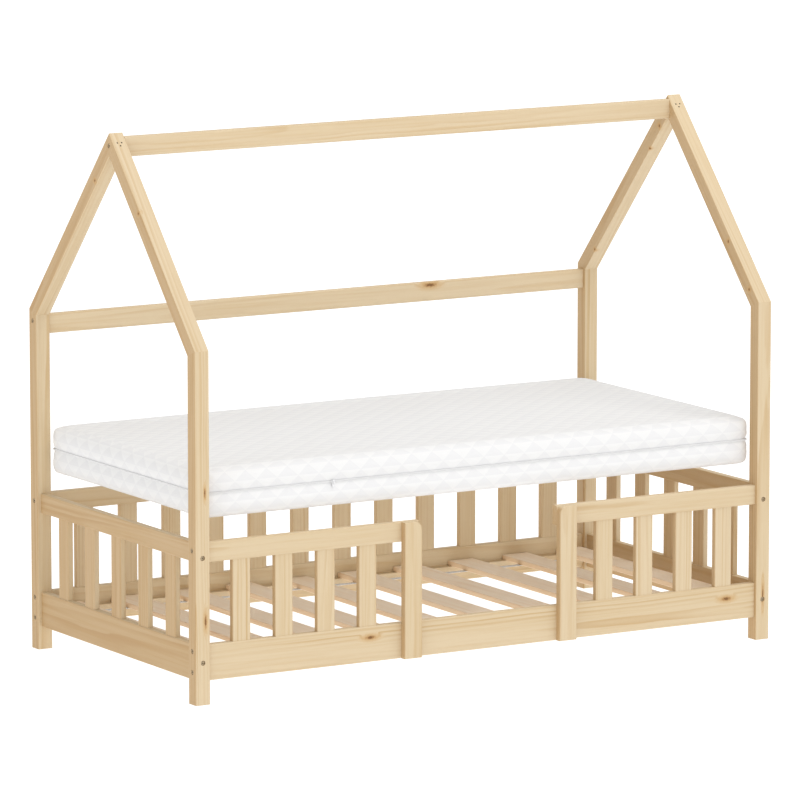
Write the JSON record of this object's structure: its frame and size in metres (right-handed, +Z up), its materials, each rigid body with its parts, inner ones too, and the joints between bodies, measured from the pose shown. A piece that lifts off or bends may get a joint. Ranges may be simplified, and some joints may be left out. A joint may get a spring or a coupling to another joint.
{
  "type": "child's house frame bed",
  "caption": "House-shaped child's bed frame in pale pine with low guards, an entry gap, a slatted base and a quilted mattress shown lifted off the slats.",
  "frame": {"origin": "floor level, at the middle of the rectangle that the four posts' outer faces make", "axes": "+X along the bed from the left end to the right end, +Y from the open front to the back, +Z up"},
  "size_m": [1.68, 0.875, 1.3639],
  "materials": {
    "pine": "sanded natural pine, clear matt finish",
    "slat_pine": "planed raw pine",
    "webbing": "woven polyester webbing",
    "screw_bronze": "dark bronze plated steel",
    "screw_dark": "dark steel",
    "quilted_cover": "quilted white cover",
    "zip_tape": "white coil zip on woven tape",
    "zip_metal": "white coated metal"
  },
  "bodies": {
    "bed_frame": {"apex_screws": "screw_dark", "back_balusters": "pine", "back_base_rail": "pine", "back_eave_rail": "pine", "back_left_post": "pine", "back_left_rafter": "pine", "back_right_post": "pine", "back_right_rafter": "pine", "back_slat_ledger": "pine", "back_slat_tape": "webbing", "back_top_rail": "pine", "frame_screws": "screw_bronze", "front_base_rail": "pine", "front_left_post": "pine", "front_left_rafter": "pine", "front_right_post": "pine", "front_right_rafter": "pine", "front_slat_ledger": "pine", "front_slat_tape": "webbing", "left_end_balusters": "pine", "left_end_base_rail": "pine", "left_end_top_rail": "pine", "left_guard_balusters": "pine", "left_guard_rail": "pine", "left_guard_upright": "pine", "ridge_beam": "pine", "right_end_balusters": "pine", "right_end_base_rail": "pine", "right_end_top_rail": "pine", "right_guard_balusters": "pine", "right_guard_rail": "pine", "right_guard_upright": "pine", "slat_01": "slat_pine", "slat_02": "slat_pine", "slat_03": "slat_pine", "slat_04": "slat_pine", "slat_05": "slat_pine", "slat_06": "slat_pine", "slat_07": "slat_pine", "slat_08": "slat_pine", "slat_09": "slat_pine", "slat_10": "slat_pine"},
    "mattress": {"mattress": "quilted_cover", "mattress_zip": "zip_tape"},
    "zip_slider": {"zip_slider": "zip_metal"},
    "zip_pull": {"zip_pull": "zip_metal"}
  },
  "joints": [
    {"name": "mattress_lift", "type": "slide", "parent": "bed_frame", "child": "mattress", "axis": [0, 0, 1], "range_m": [-0.3387, 0]},
    {"name": "zip_slide", "type": "slide", "parent": "mattress", "child": "zip_slider", "axis": [1, 0, 0], "range_m": [-0.303, 1.167]},
    {"name": "pull_swing", "type": "hinge", "parent": "zip_slider", "child": "zip_pull", "pos_m": [-0.432, -0.3987, 0.5139], "axis": [-1, 0, 0], "range_deg": [0, 90]}
  ]
}
